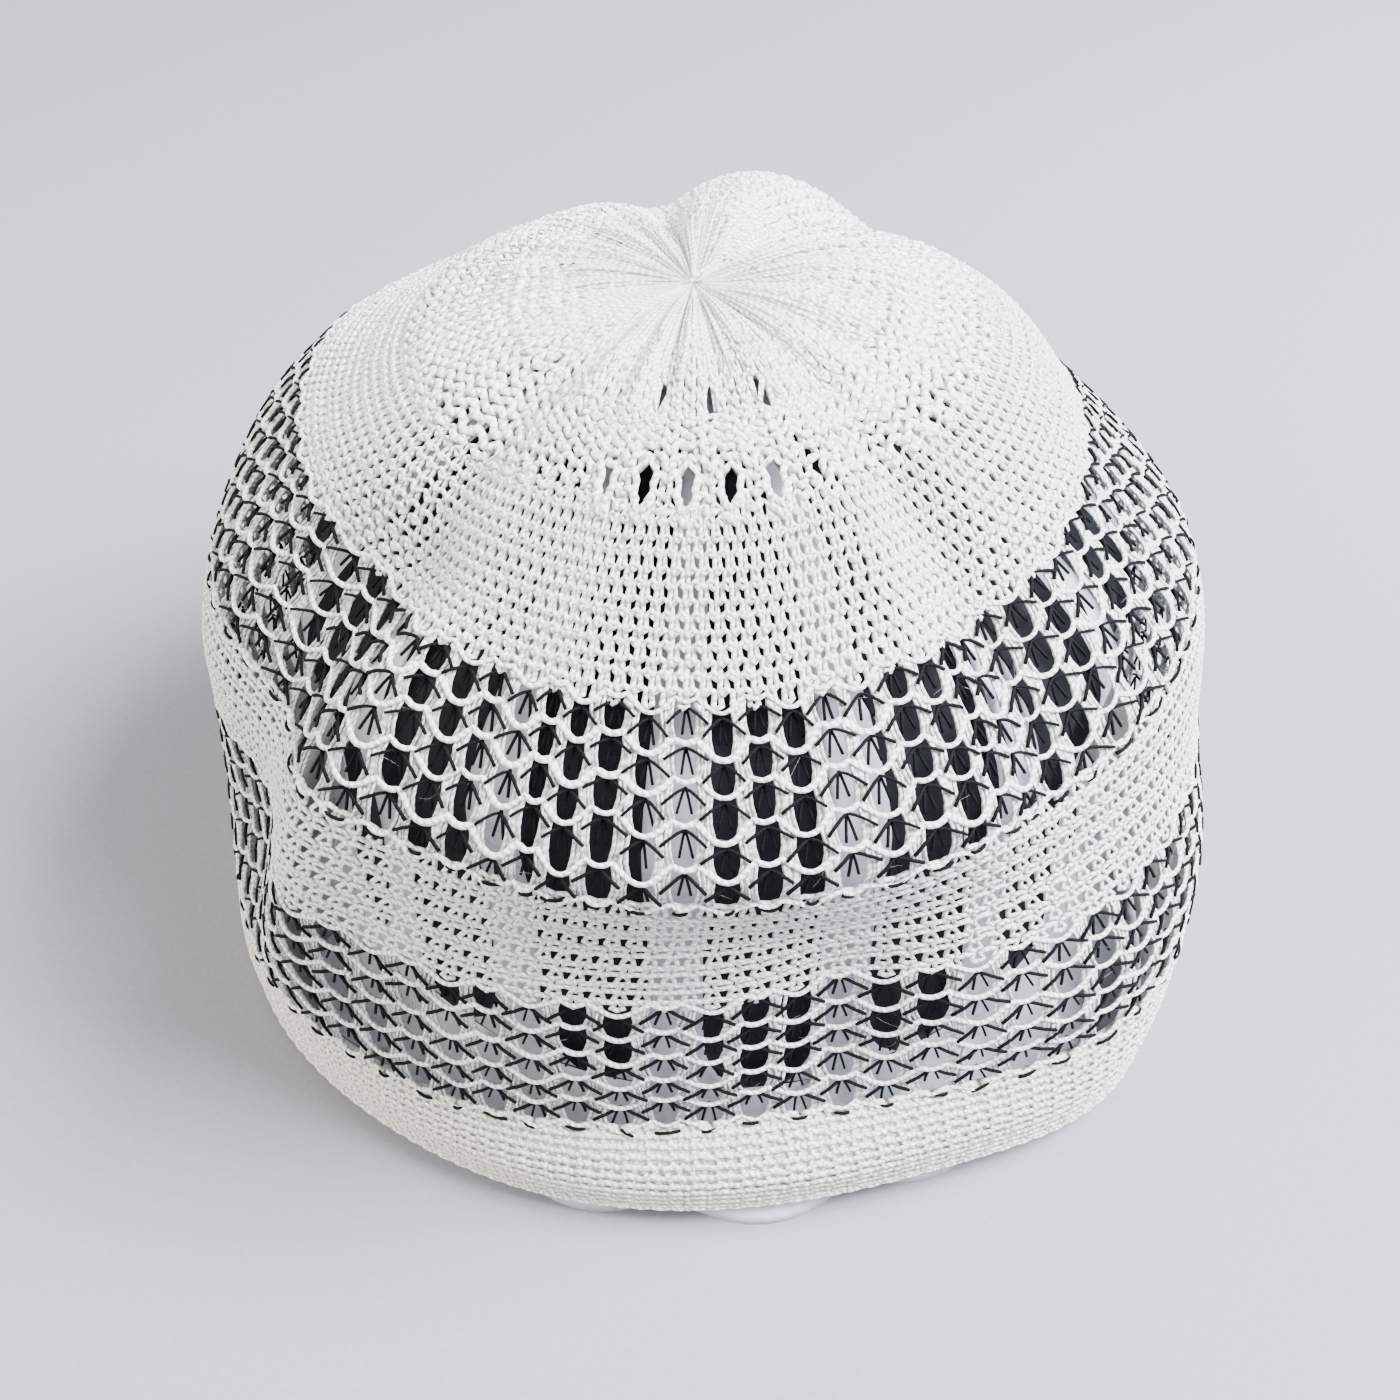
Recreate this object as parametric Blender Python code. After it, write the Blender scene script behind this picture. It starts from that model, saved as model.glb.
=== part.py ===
"""Kufi: a machine-knitted cap of five bands, resting on a slotted, scalloped display stand.

Metres, +Z up. The origin lies on the surface that the stand rests on, under the middle of the hat. The hat's
front faces -Y. A bearing is an angle round the hat in degrees: 0 is the front, +90 the right side (+X). A
station is a length in millimetres along the cloth, from the hem's foot up to the crown's middle.
"""
import math

import bpy
import numpy as np

MM = 0.001

# Cloth
CLOTH_WALL = 2.0      # thickness of the knit
PIECE_GAP = 0.3       # space between two pieces that meet
HAT_MIDDLE = (-1.46, -0.7)   # the crown's middle: how far to the right of the origin, and behind it
CLOSING_RING = 5.0    # the crown's last ring lies this far from its middle

# The hat's plain outline, from the hem's foot to the crown's middle
RING_COLUMNS = ("name", "radius", "height")
RINGS = (
    ("hem_foot", 89.5, 2.0),
    ("hem_top", 90.5, 20.0),
    ("lower_net_top", 88.5, 51.5),
    ("upper_net_foot", 85.0, 79.0),
    ("upper_net_top", 65.0, 104.0),
    ("eyelet_ring", 44.0, 121.5),
    ("gather_ring", 16.0, 130.0),
    ("crown_middle", 0.0, 130.0),
)

# Dents, bulges and folds. Each grows and fades along the cloth, and leans from its foot bearing to its top
# bearing. "out" moves the cloth away from the head, "up" draws it along towards the crown.
FOLD_COLUMNS = ("name", "foot_bearing", "top_bearing", "half_width",
                "grows_from", "grown_at", "fades_from", "gone_at", "out", "up")
FOLDS = (
    ("front_flat", 8, 8, 36, 6, 22, 62, 85, -9.5, 0),
    ("front_right_flare", 52, 52, 22, -20, -10, 25, 70, 10, 0),
    ("front_left_flare", -62, -62, 20, -20, -10, 15, 50, 3, 0),
    ("hem_pulled_in", 5, 5, 30, -20, -10, 10, 25, -1, 0),
    ("hem_lifted", 15, 15, 32, -20, -10, 8, 30, 0, 2.5),
    ("hem_lifted_right", 33, 33, 12, -20, -10, 8, 30, 0, 2),
    ("right_side", 85, 85, 30, 0, 20, 70, 100, 3, 0),
    ("hem_high_right", 74, 74, 30, 2, 18, 20, 48, 0, 10),
    ("left_ridge", -56, -22, 7, 15, 40, 95, 120, 4, 0),
    ("left_valley", -72, -36, 11, 8, 35, 105, 130, -6, 0),
    ("left_crown_valley", -46, -46, 8, 105, 122, 150, 172, -3, 0),
    ("right_valley", 42, 38, 7, 70, 82, 130, 160, -2.5, 0),
    ("right_lobe", 92, 105, 26, 100, 130, 155, 178, 3.5, 0),
    ("left_lobe", -110, -125, 30, 100, 130, 155, 178, 0.5, 0),
    ("left_shoulder", -112, -112, 28, 70, 95, 108, 130, 4, 0),
    ("back_bump", 164, 162, 20, 95, 130, 160, 180, 4.5, 0),
    ("bump_right_crease", 136, 140, 9, 110, 130, 160, 180, -2.5, 0),
    ("bump_left_crease", -174, -171, 9, 110, 130, 155, 176, -3, 0),
    ("front_dent", 17, 17, 8, 20, 34, 52, 70, -3, 0),
    ("skew_right", 75, 75, 50, 10, 40, 95, 125, 0, 3.5),
    ("skew_front", 10, 10, 60, 20, 45, 60, 80, 0, -1.5),
    ("skew_left", -75, -75, 50, 10, 40, 95, 125, 0, 6),
    ("crown_sag_front", 0, 0, 40, 85, 110, 125, 150, 0, -2),
)

# The nets: columns of gaps round the hat, and rows of gaps up each net
GAP_COLUMNS = 24
GAP_ROWS = 2
BAR_SHARE = 0.3       # part of each column's width that its bar takes
NET_EDGE = 2.6        # plain strip of cloth along each edge of a net
NET_BAR = 2.4         # height of the bar between two rows of gaps
GAP_STEPS = 2         # faces across one gap, so that it follows the hat's curve

# Display stand
STAND_LOBES = 16
STAND_TURN = 6.0             # bearing of the lobe that lies nearest the front
STAND_MIDDLE = (2.04, -4.2)  # the stand's middle, in the same way
STAND_WALL = 3.6
SLOT_DEPTH = 2.2
SLOT_SHARE = 0.66            # part of each lobe's width that its slot takes
LOBE_SWELL = 6.0             # how far a lobe swells out at the stand's foot
STAND_RINGS = (
    ("foot", 80.0, 0.0),
    ("foot_curl", 76.0, 3.5),
    ("flare_top", 72.5, 14.0),
    ("slot_foot", 71.8, 21.5),
    ("low_side", 69.5, 60.0),
    ("shoulder", 71.0, 82.0),
    ("slot_turn", 51.5, 104.0),
    ("dome_side", 37.5, 114.5),
    ("slot_top", 24.0, 121.6),
    ("cap_edge", 16.5, 124.6),
)
STAND_TOP = 127.5
SLOT_FROM, SLOT_TO = "slot_foot", "slot_top"
LOBES_END = "slot_foot"      # above this ring the stand is plain round


def smooth_step(value):
    """Rise from 0 to 1 with level ends, and stay there outside."""
    share = np.clip(value, 0.0, 1.0)
    return share * share * (3.0 - 2.0 * share)


class Meridian:
    """The plain outline as one smooth curve: cubic pieces through the rings, by length along the chords."""

    def __init__(self, rings):
        self.names = [ring[0] for ring in rings]
        self.points = np.array([ring[1:] for ring in rings], dtype=float)
        steps = np.hypot(*np.diff(self.points, axis=0).T)
        self.stations = np.concatenate(([0.0], np.cumsum(steps)))
        self.length = self.stations[-1]
        secants = np.diff(self.points, axis=0) / steps[:, None]
        slopes = np.empty_like(self.points)
        before, after = steps[:-1, None], steps[1:, None]
        slopes[1:-1] = (secants[:-1] * after + secants[1:] * before) / (before + after)
        slopes[0] = 2.0 * secants[0] - slopes[1]
        slopes[-1] = (-1.0, 0.0)
        self.slopes = slopes

    def station(self, name):
        """The length along the cloth at which a named ring lies."""
        return self.stations[self.names.index(name)]

    def at(self, station):
        """Radius and height at a station, and their rates of change there."""
        station = np.clip(station, 0.0, self.length)
        piece = np.clip(np.searchsorted(self.stations, station, side="right") - 1, 0, len(self.names) - 2)
        step = (self.stations[piece + 1] - self.stations[piece])[..., None]
        s = (station - self.stations[piece])[..., None] / step
        start, end = self.points[piece], self.points[piece + 1]
        leave, arrive = self.slopes[piece] * step, self.slopes[piece + 1] * step
        place = ((2 * s**3 - 3 * s**2 + 1) * start + (s**3 - 2 * s**2 + s) * leave
                 + (3 * s**2 - 2 * s**3) * end + (s**3 - s**2) * arrive)
        rate = ((6 * s**2 - 6 * s) * (start - end) + (3 * s**2 - 4 * s + 1) * leave
                + (3 * s**2 - 2 * s) * arrive) / step
        return place[..., 0], place[..., 1], rate[..., 0], rate[..., 1]


HAT = Meridian(RINGS)


def hat_surface(bearing, station):
    """Points of the hat's outer face: the turned outline, moved out and along by every fold.

    A fold's strength is a bell curve across its width, times a smooth rise and fall along the cloth.
    """
    bearing, station = np.broadcast_arrays(np.asarray(bearing, float), np.asarray(station, float))
    out = np.zeros(bearing.shape)
    up = np.zeros(bearing.shape)
    share = station / HAT.length
    for row in FOLDS:
        fold = dict(zip(FOLD_COLUMNS, row))
        middle = fold["foot_bearing"] + (fold["top_bearing"] - fold["foot_bearing"]) * share
        across = ((bearing - middle + 180.0) % 360.0 - 180.0) / fold["half_width"]
        rise = smooth_step((station - fold["grows_from"]) / (fold["grown_at"] - fold["grows_from"]))
        fall = smooth_step((station - fold["fades_from"]) / (fold["gone_at"] - fold["fades_from"]))
        strength = np.exp(-across**2) * rise * (1.0 - fall)
        out += fold["out"] * strength
        up += fold["up"] * strength
    radius, height, radius_rate, height_rate = HAT.at(station + up)
    length = np.hypot(radius_rate, height_rate)
    radius = radius + out * height_rate / length
    height = height - out * radius_rate / length
    angle = np.radians(bearing)
    x = radius * np.sin(angle) + HAT_MIDDLE[0]
    y = -radius * np.cos(angle) + HAT_MIDDLE[1]
    return np.stack((x, y, height), axis=-1)


def hat_inside(bearing, station):
    """Points of the hat's inner face: the outer face moved inwards along its normal by the cloth's wall."""
    step = 0.4
    bearing, station = np.broadcast_arrays(np.asarray(bearing, float), np.asarray(station, float))
    low = np.clip(station - step, 0.0, HAT.length - step)
    high = np.clip(station + step, step, HAT.length - 0.01)
    along = hat_surface(bearing, high) - hat_surface(bearing, low)
    around = hat_surface(bearing + step, station) - hat_surface(bearing - step, station)
    normal = np.cross(around, along)
    normal /= np.linalg.norm(normal, axis=-1, keepdims=True)
    return hat_surface(bearing, station) - CLOTH_WALL * normal


def hat_bearings():
    """Bearings of the faces' edges round the hat: a narrow bar, then the steps across one gap, repeated."""
    pitch = 360.0 / GAP_COLUMNS
    bar = pitch * BAR_SHARE
    step = (pitch - bar) / GAP_STEPS
    edges = [column * pitch + offset
             for column in range(GAP_COLUMNS)
             for offset in [-bar / 2] + [bar / 2 + step * i for i in range(GAP_STEPS)]]
    return np.array(edges)


def net_stations(low, high, steps):
    """Stations of a net's faces: plain edge, gap, bar, gap, plain edge, with so many steps up each gap."""
    gap = (high - low - 2 * NET_EDGE - (GAP_ROWS - 1) * NET_BAR) / GAP_ROWS
    stations = [low]
    for row in range(GAP_ROWS):
        foot = low + NET_EDGE + row * (gap + NET_BAR)
        stations += [foot + gap * i / steps for i in range(steps + 1)]
    return np.array(stations + [high])


def closed_solid(outer, inner, cut=None, sunk=None, floor=None, top_points=None):
    """Vertices and faces of a closed wall that runs all the way round.

    outer, inner and floor are grids of points, rows by columns, with rows counted upwards. A cell that is cut
    has no faces, and the wall is closed round it. A sunk cell has its outer face on the floor grid. top_points
    are the outer and inner middle points where a wall closes over at the top.
    """
    rows, columns = outer.shape[0] - 1, outer.shape[1]
    cut = np.zeros((rows, columns), bool) if cut is None else cut
    sunk = np.zeros((rows, columns), bool) if sunk is None else sunk
    floor = outer if floor is None else floor
    layers = {"outer": 0, "inner": outer.size // 3, "floor": 2 * outer.size // 3}
    points = np.concatenate((outer.reshape(-1, 3), inner.reshape(-1, 3), floor.reshape(-1, 3)))

    def index(layer, row, column):
        return layers[layer] + row * columns + column % columns

    def is_cut(row, column):
        return not 0 <= row < rows or cut[row, column % columns]

    faces = []
    for row in range(rows):
        for column in range(columns):
            if cut[row, column]:
                continue
            corners = [(row, column), (row, column + 1), (row + 1, column + 1), (row + 1, column)]
            skin = "floor" if sunk[row, column] else "outer"
            faces.append([index(skin, *corner) for corner in corners])
            faces.append([index("inner", *corner) for corner in reversed(corners)])
            neighbours = [(row - 1, column), (row, column + 1), (row + 1, column), (row, column - 1)]
            for side, neighbour in enumerate(neighbours):
                start, end = corners[side], corners[(side + 1) % 4]
                closes_over = neighbour[0] == rows and top_points is not None
                if is_cut(*neighbour) and not closes_over:
                    faces.append([index(skin, *end), index(skin, *start),
                                  index("inner", *start), index("inner", *end)])
                elif sunk[row, column] and not sunk[neighbour[0], neighbour[1] % columns]:
                    faces.append([index("floor", *end), index("floor", *start),
                                  index("outer", *start), index("outer", *end)])
    if top_points is not None:
        outer_middle = len(points)
        points = np.concatenate((points, np.array(top_points)))
        for column in range(columns):
            faces.append([index("outer", rows, column), index("outer", rows, column + 1), outer_middle])
            faces.append([index("inner", rows, column + 1), index("inner", rows, column), outer_middle + 1])
    used = sorted({corner for face in faces for corner in face})
    place = {old: new for new, old in enumerate(used)}
    return points[used] * MM, [[place[corner] for corner in face] for face in faces]


def plain_material(name, colour, roughness):
    """A Principled material with one colour, for a piece that is not metal."""
    material = bpy.data.materials.new(name)
    material.use_nodes = True
    shader = material.node_tree.nodes["Principled BSDF"]
    shader.inputs["Base Color"].default_value = (*colour, 1.0)
    shader.inputs["Roughness"].default_value = roughness
    shader.inputs["Metallic"].default_value = 0.0
    material.diffuse_color = (*colour, 1.0)
    return material


def add_object(name, points, faces, material):
    """Put one closed mesh into the scene as a named object, round faces smooth and edges sharp."""
    mesh = bpy.data.meshes.new(name)
    mesh.from_pydata([tuple(point) for point in points], [], faces)
    mesh.materials.append(material)
    mesh.shade_smooth()
    mesh.set_sharp_from_angle(angle=math.radians(45.0))
    mesh.update()
    thing = bpy.data.objects.new(name, mesh)
    bpy.context.scene.collection.objects.link(thing)
    return thing


def cloth_band(name, stations, material, net=False):
    """One band of the hat between its lowest and highest station, with its gaps cut through if it is a net."""
    bearings = hat_bearings()
    outer = hat_surface(bearings[None, :], stations[:, None])
    inner = hat_inside(bearings[None, :], stations[:, None])
    cut = None
    if net:
        gap_steps = (len(stations) - 3 - (GAP_ROWS - 1)) // GAP_ROWS
        row_is_gap = ([False] + [True] * gap_steps) * GAP_ROWS + [False]
        column_is_gap = ([False] + [True] * GAP_STEPS) * GAP_COLUMNS
        cut = np.outer(row_is_gap, column_is_gap)
    points, faces = closed_solid(outer, inner, cut=cut)
    return add_object(name, points, faces, material)


def crown(material):
    """The cap's top, from the upper net to the gathered middle, where all its rows meet in one point."""
    low = HAT.station("upper_net_top") + PIECE_GAP / 2
    stations = np.concatenate((np.linspace(low, HAT.station("gather_ring"), 8), [HAT.length - CLOSING_RING]))
    bearings = hat_bearings()
    outer = hat_surface(bearings[None, :], stations[:, None])
    inner = hat_inside(bearings[None, :], stations[:, None])
    top = RINGS[-1][2]
    tops = ((*HAT_MIDDLE, top), (*HAT_MIDDLE, top - CLOTH_WALL))
    points, faces = closed_solid(outer, inner, top_points=tops)
    return add_object("crown", points, faces, material)


def stand_grid(inset):
    """A grid of the stand's points: each ring swells into lobes near the foot, moved inwards by the inset.

    The radius is the ring's own, plus the swell times the size of a cosine that has its tops at the lobes and
    its zeros in the notches between them, and the swell fades out up to the slots' foot. The inset runs along
    the outline's normal, and level at the foot, where the stand is flat.
    """
    outline = np.array([ring[1:] for ring in STAND_RINGS], float)
    lobes_top = [ring[2] for ring in STAND_RINGS if ring[0] == LOBES_END][0]
    slot_side = SLOT_SHARE / 2
    notch = 0.5
    places = (-slot_side, 0.0, slot_side, notch)
    lobes = np.array([lobe + place for lobe in range(STAND_LOBES) for place in places])
    tangent = np.gradient(outline, axis=0)
    tangent /= np.linalg.norm(tangent, axis=1, keepdims=True)
    normal = np.stack((tangent[:, 1], -tangent[:, 0]), axis=1)
    normal[0] = (1.0, 0.0)
    moved = outline - inset * normal
    swell = LOBE_SWELL * np.clip(1.0 - outline[:, 1] / lobes_top, 0.0, 1.0)
    radius = moved[:, 0, None] + swell[:, None] * np.abs(np.cos(math.pi * lobes))[None, :]
    angle = 2 * math.pi * lobes[None, :] / STAND_LOBES + math.radians(STAND_TURN)
    x = radius * np.sin(angle) + STAND_MIDDLE[0]
    y = -radius * np.cos(angle) + STAND_MIDDLE[1]
    z = np.broadcast_to(moved[:, 1, None], x.shape)
    return np.stack((x, y, z), axis=-1)


def display_stand(material):
    """The stand: one hollow shell, open below, with scalloped lobes at its foot and a slot sunk above each."""
    outer = stand_grid(0.0)
    inner = stand_grid(STAND_WALL)
    floor = stand_grid(SLOT_DEPTH)
    names = [ring[0] for ring in STAND_RINGS]
    rows = np.arange(len(names) - 1)
    row_is_slot = (rows >= names.index(SLOT_FROM)) & (rows < names.index(SLOT_TO))
    column_is_slot = [True, True, False, False] * STAND_LOBES
    sunk = np.outer(row_is_slot, column_is_slot)
    tops = ((*STAND_MIDDLE, STAND_TOP), (*STAND_MIDDLE, STAND_TOP - STAND_WALL))
    points, faces = closed_solid(outer, inner, sunk=sunk, floor=floor, top_points=tops)
    return add_object("display_stand", points, faces, material)


def build():
    """Clear the scene, then make the hat's five bands from the foot up, and the stand under them."""
    for thing in list(bpy.data.objects):
        bpy.data.objects.remove(thing, do_unlink=True)
    half_gap = PIECE_GAP / 2
    hem_top = HAT.station("hem_top")
    lower_top = HAT.station("lower_net_top")
    upper_foot = HAT.station("upper_net_foot")
    upper_top = HAT.station("upper_net_top")
    cloth_band("hem_band", np.linspace(0.0, hem_top - half_gap, 3),
               plain_material("dense_white_knit", (0.80, 0.83, 0.81), 0.85))
    cloth_band("lower_net_band", net_stations(hem_top + half_gap, lower_top - half_gap, 1),
               plain_material("white_net_with_black_thread", (0.62, 0.65, 0.64), 0.85), net=True)
    cloth_band("middle_band", np.linspace(lower_top + half_gap, upper_foot - half_gap, 3),
               plain_material("white_wavy_knit", (0.82, 0.86, 0.84), 0.85))
    cloth_band("upper_net_band", net_stations(upper_foot + half_gap, upper_top - half_gap, 2),
               plain_material("white_open_net_with_black_thread", (0.62, 0.65, 0.64), 0.85), net=True)
    crown(plain_material("white_crown_knit", (0.83, 0.87, 0.85), 0.85))
    display_stand(plain_material("glossy_white_plastic", (0.62, 0.65, 0.72), 0.25))


build()
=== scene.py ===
"""Looks of the knitted kufi on its stand: yarn loops, net strands, black threads and moulded plastic.

Metres in the finished meshes, millimetres while a shape is worked out. A bearing is an angle round the
hat in degrees, 0 at the front and +90 on the right. A station is a length along the cloth from the hem's
foot up to the crown's middle. Lift is how far a point stands out from the cloth's outer face.
"""
import math

import bpy
import numpy as np
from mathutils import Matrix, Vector


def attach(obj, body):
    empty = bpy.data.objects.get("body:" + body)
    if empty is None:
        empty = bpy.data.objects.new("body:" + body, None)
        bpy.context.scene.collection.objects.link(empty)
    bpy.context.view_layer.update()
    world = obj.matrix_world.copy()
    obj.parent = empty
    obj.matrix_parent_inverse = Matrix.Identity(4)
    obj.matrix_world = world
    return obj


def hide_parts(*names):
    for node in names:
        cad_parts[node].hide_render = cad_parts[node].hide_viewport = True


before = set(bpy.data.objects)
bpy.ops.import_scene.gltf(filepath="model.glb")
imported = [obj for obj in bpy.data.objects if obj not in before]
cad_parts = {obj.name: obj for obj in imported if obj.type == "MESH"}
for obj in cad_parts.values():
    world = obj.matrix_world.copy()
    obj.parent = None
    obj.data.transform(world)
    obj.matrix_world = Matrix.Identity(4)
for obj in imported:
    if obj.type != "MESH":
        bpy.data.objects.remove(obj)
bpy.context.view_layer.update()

MM = 0.001
TURN = 2.0 * math.pi

# The hat's plain outline, from the hem's foot to the crown's middle
HAT_MIDDLE = (-1.46, -0.7)
RINGS = (
    ("hem_foot", 89.5, 2.0),
    ("hem_top", 90.5, 20.0),
    ("lower_net_top", 88.5, 51.5),
    ("upper_net_foot", 85.0, 79.0),
    ("upper_net_top", 65.0, 104.0),
    ("eyelet_ring", 44.0, 121.5),
    ("gather_ring", 16.0, 130.0),
    ("crown_middle", 0.0, 130.0),
)

# Dents, bulges and folds of the cloth, as in the frame: name, bearings at foot and top, half the width, the
# stations it grows from, is grown at, fades from and is gone at, and its push outwards and up
FOLDS = (
    ("front_flat", 8, 8, 36, 6, 22, 62, 85, -9.5, 0),
    ("front_right_flare", 52, 52, 22, -20, -10, 25, 70, 10, 0),
    ("front_left_flare", -62, -62, 20, -20, -10, 15, 50, 3, 0),
    ("hem_pulled_in", 5, 5, 30, -20, -10, 10, 25, -1, 0),
    ("hem_lifted", 15, 15, 32, -20, -10, 8, 30, 0, 2.5),
    ("hem_lifted_right", 33, 33, 12, -20, -10, 8, 30, 0, 2),
    ("right_side", 85, 85, 30, 0, 20, 70, 100, 3, 0),
    ("hem_high_right", 74, 74, 30, 2, 18, 20, 48, 0, 10),
    ("left_ridge", -56, -22, 7, 15, 40, 95, 120, 4, 0),
    ("left_valley", -72, -36, 11, 8, 35, 105, 130, -6, 0),
    ("left_crown_valley", -46, -46, 8, 105, 122, 150, 172, -3, 0),
    ("right_valley", 42, 38, 7, 70, 82, 130, 160, -2.5, 0),
    ("right_lobe", 92, 105, 26, 100, 130, 155, 178, 3.5, 0),
    ("left_lobe", -110, -125, 30, 100, 130, 155, 178, 0.5, 0),
    ("left_shoulder", -112, -112, 28, 70, 95, 108, 130, 4, 0),
    ("back_bump", 164, 162, 20, 95, 130, 160, 180, 4.5, 0),
    ("bump_right_crease", 136, 140, 9, 110, 130, 160, 180, -2.5, 0),
    ("bump_left_crease", -174, -171, 9, 110, 130, 155, 176, -3, 0),
    ("front_dent", 17, 17, 8, 20, 34, 52, 70, -3, 0),
    ("skew_right", 75, 75, 50, 10, 40, 95, 125, 0, 3.5),
    ("skew_front", 10, 10, 60, 20, 45, 60, 80, 0, -1.5),
    ("skew_left", -75, -75, 50, 10, 40, 95, 125, 0, 6),
    ("crown_sag_front", 0, 0, 40, 85, 110, 125, 150, 0, -2),
)

# Knit
KNIT_COLUMNS = 168  # stitches round the hat
NET_COLUMNS = 84  # net cells round the hat, one for every two stitches
NET_ROWS = 5  # cells up each net
STITCH_STEPS = 8  # points of yarn in one stitch
PURL = {"waist": 0.22, "skew": 0.06, "reach": 0.62, "uneven": 0.1, "lift": -0.55, "depth": 0.38,
        "jitter": 0.05, "sway": 0.0}
# Rings of slits in the crown: every how many columns, the first one's column, the middle's height above the
# eyelet ring, half the width in columns and half the height
SLITS = ((2, 0, 4.1, 0.42, 3.8), (3.5, -2, 16.6, 0.5, 3.2))
SLITS_FACE = 3.0  # bearing where the slits are stretched open the most
SLITS_OPEN = 25.0  # how far round from there they stay open, in degrees
SLITS_SHUT = 0.25  # how far open they are at the sides and the back
SLIT_REACH = 2.2  # how far from a slit the yarn still moves aside, in half widths
PLEATS_FROM = 154.0  # station where the gathered pleats begin

# Net
STAGGER = 0.19  # how far odd columns hang lower and even ones higher, in rows
NODE = 0.30  # where a cross strand's bow ends, in columns from its middle
BOW = 0.62  # how far a cross strand's middle hangs below its ends
# Plies of the walls: how far foot and head lie from the cell's middle, in columns, and the lift
LEGS = ((0.26, 0.31, -0.42), (0.32, 0.37, -0.6), (0.38, 0.42, -0.45), (0.44, 0.46, -0.7))

# Yarns and threads: half the width, half the depth and the section's count of sides
HEM_YARN = (0.66, 0.38, 4)
HEM_EDGE = (0.75, 0.7, 6)
CROSS_YARN = (0.43, 0.44, 5)
LEG_YARN = (0.33, 0.27, 3)
SLANTING_YARN = (0.26, 0.23, 3)
END_YARN = (0.3, 0.3, 5)
FIBRE = (0.018, 0.018, 3)
ROOF_THREAD = (0.31, 0.27, 4)
LEG_THREAD = (0.27, 0.23, 4)
FOOT_THREAD = (0.3, 0.26, 4)
YARN_TWIST, THREAD_TWIST = 1.3, 0.7  # millimetres for one turn of the plies

# Display stand
STAND_LOBES = 16
STAND_TURN = 6.0  # bearing of the lobe that lies nearest the front
STAND_MIDDLE = (2.04, -4.2)
STAND_WALL = 3.6
SLOT_DEPTH = 2.2
SLOT_HALF_WIDTH = 0.33  # of one lobe's width
LOBE_SWELL = 6.0
STAND_RINGS = (
    ("foot", 80.0, 0.0),
    ("foot_curl", 76.0, 3.5),
    ("flare_top", 72.5, 14.0),
    ("slot_foot", 71.8, 21.5),
    ("low_side", 69.5, 60.0),
    ("shoulder", 71.0, 82.0),
    ("slot_turn", 51.5, 104.0),
    ("dome_side", 37.5, 114.5),
    ("slot_top", 24.0, 121.6),
    ("cap_edge", 16.5, 124.6),
)
STAND_TOP = 127.5

# Camera, worked out from the photograph's perspective
CAMERA_AIM = (-0.46, -0.7, 38.8)
CAMERA_AWAY = 311.1
CAMERA_PITCH = 44.7  # degrees below level
CAMERA_LENS = 41.14
CAMERA_SENSOR = 36.0


def smooth_step(value):
    """Rise from 0 to 1 with level ends, and stay there outside."""
    share = np.clip(value, 0.0, 1.0)
    return share * share * (3.0 - 2.0 * share)


def turned_from(bearing, middle):
    """The angle from a middle bearing to another, between -180 and 180."""
    return (bearing - middle + 180.0) % 360.0 - 180.0


class Outline:
    """A smooth curve of radius and height through named rings, by length along the chords.

    Each piece is a cubic whose slope at a ring is the mean of the two chords' slopes there, each weighted
    by the other chord's length.
    """

    def __init__(self, rings, last_slope=None):
        self.names = [ring[0] for ring in rings]
        self.points = np.array([ring[1:] for ring in rings], dtype=float)
        steps = np.hypot(*np.diff(self.points, axis=0).T)
        self.stations = np.concatenate(([0.0], np.cumsum(steps)))
        self.length = self.stations[-1]
        secants = np.diff(self.points, axis=0) / steps[:, None]
        slopes = np.empty_like(self.points)
        before, after = steps[:-1, None], steps[1:, None]
        slopes[1:-1] = (secants[:-1] * after + secants[1:] * before) / (before + after)
        slopes[0] = 2.0 * secants[0] - slopes[1]
        slopes[-1] = secants[-1] if last_slope is None else last_slope
        self.slopes = slopes

    def station(self, name):
        """The length along the curve at which a named ring lies."""
        return self.stations[self.names.index(name)]

    def at(self, station):
        """Radius and height at a station, and their rates of change there."""
        station = np.clip(station, 0.0, self.length)
        piece = np.clip(np.searchsorted(self.stations, station, side="right") - 1, 0, len(self.names) - 2)
        step = (self.stations[piece + 1] - self.stations[piece])[..., None]
        s = (station - self.stations[piece])[..., None] / step
        start, end = self.points[piece], self.points[piece + 1]
        leave, arrive = self.slopes[piece] * step, self.slopes[piece + 1] * step
        place = ((2 * s**3 - 3 * s**2 + 1) * start + (s**3 - 2 * s**2 + s) * leave
                 + (3 * s**2 - 2 * s**3) * end + (s**3 - s**2) * arrive)
        rate = ((6 * s**2 - 6 * s) * (start - end) + (3 * s**2 - 4 * s + 1) * leave
                + (3 * s**2 - 2 * s) * arrive) / step
        return place[..., 0], place[..., 1], rate[..., 0], rate[..., 1]


HAT = Outline(RINGS, last_slope=(-1.0, 0.0))
HEM_TOP = HAT.station("hem_top")
LOWER_TOP = HAT.station("lower_net_top")
UPPER_FOOT = HAT.station("upper_net_foot")
UPPER_TOP = HAT.station("upper_net_top")
EYELETS = HAT.station("eyelet_ring")


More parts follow.
